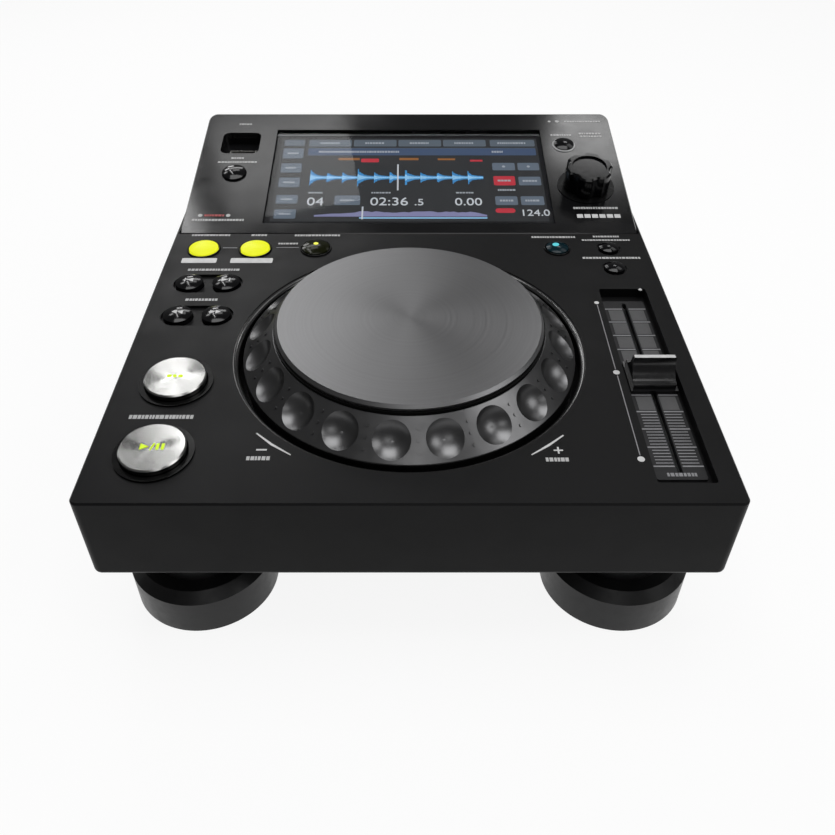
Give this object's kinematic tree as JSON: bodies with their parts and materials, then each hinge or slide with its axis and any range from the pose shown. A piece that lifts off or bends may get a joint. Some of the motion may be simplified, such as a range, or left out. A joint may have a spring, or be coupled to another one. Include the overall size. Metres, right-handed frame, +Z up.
{
  "type": "tabletop dj player",
  "caption": "Desktop DJ player with a large jog wheel, tempo fader, tilted touch display, round lit buttons, a push selector knob and rear sockets on four round feet.",
  "frame": {"origin": "on the table, under the middle of the player's overall box", "axes": "+Z up, +Y to the back (the connector side), +X to the user's right"},
  "size_m": [0.2196, 0.3014, 0.1024],
  "materials": {
    "panel_black": "satin black moulding with a fine grain",
    "cover_black": "glossy black moulding",
    "base_black": "matt black moulding",
    "rear_black": "matt black painted sheet",
    "foot_black": "satin black moulding",
    "pad_rubber": "matt dark rubber",
    "screw_steel": "zinc plated",
    "screw_black": "blackened steel",
    "dial_black": "glossy dark grey moulding",
    "rim_black": "matt black",
    "plate_metal": "satin disc with a bright bevel",
    "shaft_steel": "ground steel",
    "bush_bronze": "sintered bronze",
    "bracket_steel": "plated sheet steel",
    "code_film": "thin black slotted plastic",
    "cap_black": "glossy black caps",
    "cap_yellow": "lit yellow domes",
    "cap_dark": "dark translucent domes",
    "transport_metal": "radially brushed discs",
    "bezel_black": "glossy black sleeves",
    "knob_black": "glossy black scalloped knob",
    "ring_black": "dark ring",
    "inner_plastic": "moulded inner pieces",
    "fader_black": "black cap with a pale line",
    "lever_steel": "plated blade",
    "scale_grey": "dark scale plate with pale ticks",
    "glass": "clear cover glass",
    "screen": "lit display",
    "board_green": "green laminate with solder mask",
    "socket_metal": "nickel plated shells",
    "socket_black": "black moulded socket",
    "rca_plated": "plated barrels",
    "power_cap": "black cap"
  },
  "bodies": {
    "chassis": {"top_case": "panel_black", "display_cover": "cover_black", "bottom_case": "base_black", "rear_panel": "rear_black", "foot_front_left": "foot_black", "foot_front_right": "foot_black", "foot_rear_left": "foot_black", "foot_rear_right": "foot_black", "foot_pads": "pad_rubber", "foot_screws": "screw_steel", "case_screws": "screw_black", "board_screws": "screw_steel", "jog_bush": "bush_bronze", "jog_holder": "bracket_steel", "jog_sensor_board": "inner_plastic", "transport_bezels": "bezel_black", "selector_ring": "ring_black", "selector_encoder": "inner_plastic", "fader_body": "bracket_steel", "fader_scale": "scale_grey", "touch_glass": "glass", "lcd_panel": "screen", "lcd_frame": "bracket_steel", "display_board": "board_green", "panel_board": "board_green", "tact_switches": "inner_plastic", "main_board": "board_green", "main_shield": "bracket_steel", "jack_board": "board_green", "usb_a_jack": "socket_metal", "usb_b_jack": "socket_metal", "lan_jack": "socket_metal", "rca_jacks": "rca_plated", "dc_jack": "socket_black"},
    "jog_wheel": {"jog_dial": "dial_black", "jog_rim": "rim_black", "jog_plate": "plate_metal", "jog_shaft": "shaft_steel", "jog_encoder_disc": "code_film", "jog_clip": "shaft_steel"},
    "tempo_fader": {"fader_cap": "fader_black", "fader_lever": "lever_steel"},
    "selector_push": {"selector_slider": "inner_plastic"},
    "selector": {"selector_knob": "knob_black", "selector_shaft": "shaft_steel"},
    "cue": {"cue_button": "transport_metal"},
    "play": {"play_button": "transport_metal"},
    "power": {"power_button": "power_cap"},
    "loop_in": {"loop_in_button": "cap_yellow"},
    "loop_out": {"loop_out_button": "cap_yellow"},
    "reloop": {"reloop_button": "cap_dark"},
    "track_back": {"track_back_button": "cap_black"},
    "track_forward": {"track_forward_button": "cap_black"},
    "search_back": {"search_back_button": "cap_black"},
    "search_forward": {"search_forward_button": "cap_black"},
    "vinyl_mode": {"vinyl_mode_button": "cap_dark"},
    "tempo_range": {"tempo_range_button": "cap_black"},
    "master_tempo": {"master_tempo_button": "cap_black"},
    "usb_stop": {"usb_stop_button": "cap_black"},
    "back": {"back_button": "cap_black"}
  },
  "joints": [
    {"name": "jog_spin", "type": "hinge", "parent": "chassis", "child": "jog_wheel", "pos_m": [0, -0.06825, 0.07648], "axis": [0, -0.0489, 0.9988], "continuous": true},
    {"name": "tempo_slide", "type": "slide", "parent": "chassis", "child": "tempo_fader", "axis": [0, 0.9988, 0.0489], "range_m": [-0.046, 0.046]},
    {"name": "selector_press", "type": "slide", "parent": "chassis", "child": "selector_push", "axis": [0, 0.2181, -0.9759], "range_m": [0, 0.0005], "stiffness_N_per_m": 1500, "springref_m": -0.0005},
    {"name": "selector_turn", "type": "hinge", "parent": "selector_push", "child": "selector", "pos_m": [0.0882, 0.05287, 0.0886], "axis": [0, -0.2181, 0.9759], "continuous": true},
    {"name": "cue_press", "type": "slide", "parent": "chassis", "child": "cue", "axis": [0, 0.0489, -0.9988], "range_m": [0, 0.001], "stiffness_N_per_m": 800, "springref_m": -0.0008},
    {"name": "play_press", "type": "slide", "parent": "chassis", "child": "play", "axis": [0, 0.0489, -0.9988], "range_m": [0, 0.001], "stiffness_N_per_m": 800, "springref_m": -0.0008},
    {"name": "loop_in_press", "type": "slide", "parent": "chassis", "child": "loop_in", "axis": [0, 0.0489, -0.9988], "range_m": [0, 0.0007], "stiffness_N_per_m": 600, "springref_m": -0.0006},
    {"name": "loop_out_press", "type": "slide", "parent": "chassis", "child": "loop_out", "axis": [0, 0.0489, -0.9988], "range_m": [0, 0.0007], "stiffness_N_per_m": 600, "springref_m": -0.0006},
    {"name": "reloop_press", "type": "slide", "parent": "chassis", "child": "reloop", "axis": [0, 0.0489, -0.9988], "range_m": [0, 0.0007], "stiffness_N_per_m": 600, "springref_m": -0.0006},
    {"name": "track_back_press", "type": "slide", "parent": "chassis", "child": "track_back", "axis": [0, 0.0489, -0.9988], "range_m": [0, 0.0007], "stiffness_N_per_m": 600, "springref_m": -0.0006},
    {"name": "track_forward_press", "type": "slide", "parent": "chassis", "child": "track_forward", "axis": [0, 0.0489, -0.9988], "range_m": [0, 0.0007], "stiffness_N_per_m": 600, "springref_m": -0.0006},
    {"name": "search_back_press", "type": "slide", "parent": "chassis", "child": "search_back", "axis": [0, 0.0489, -0.9988], "range_m": [0, 0.0007], "stiffness_N_per_m": 600, "springref_m": -0.0006},
    {"name": "search_forward_press", "type": "slide", "parent": "chassis", "child": "search_forward", "axis": [0, 0.0489, -0.9988], "range_m": [0, 0.0007], "stiffness_N_per_m": 600, "springref_m": -0.0006},
    {"name": "vinyl_mode_press", "type": "slide", "parent": "chassis", "child": "vinyl_mode", "axis": [0, 0.0489, -0.9988], "range_m": [0, 0.0007], "stiffness_N_per_m": 600, "springref_m": -0.0006},
    {"name": "tempo_range_press", "type": "slide", "parent": "chassis", "child": "tempo_range", "axis": [0, 0.0489, -0.9988], "range_m": [0, 0.0007], "stiffness_N_per_m": 600, "springref_m": -0.0006},
    {"name": "master_tempo_press", "type": "slide", "parent": "chassis", "child": "master_tempo", "axis": [0, 0.0489, -0.9988], "range_m": [0, 0.0007], "stiffness_N_per_m": 600, "springref_m": -0.0006},
    {"name": "usb_stop_press", "type": "slide", "parent": "chassis", "child": "usb_stop", "axis": [0, 0.2181, -0.9759], "range_m": [0, 0.0007], "stiffness_N_per_m": 600, "springref_m": -0.0006},
    {"name": "back_press", "type": "slide", "parent": "chassis", "child": "back", "axis": [0, 0.2181, -0.9759], "range_m": [0, 0.0007], "stiffness_N_per_m": 600, "springref_m": -0.0006},
    {"name": "power_press", "type": "slide", "parent": "chassis", "child": "power", "axis": [0, -1, 0], "range_m": [0, 0.0025], "stiffness_N_per_m": 300, "springref_m": -0.0015}
  ]
}
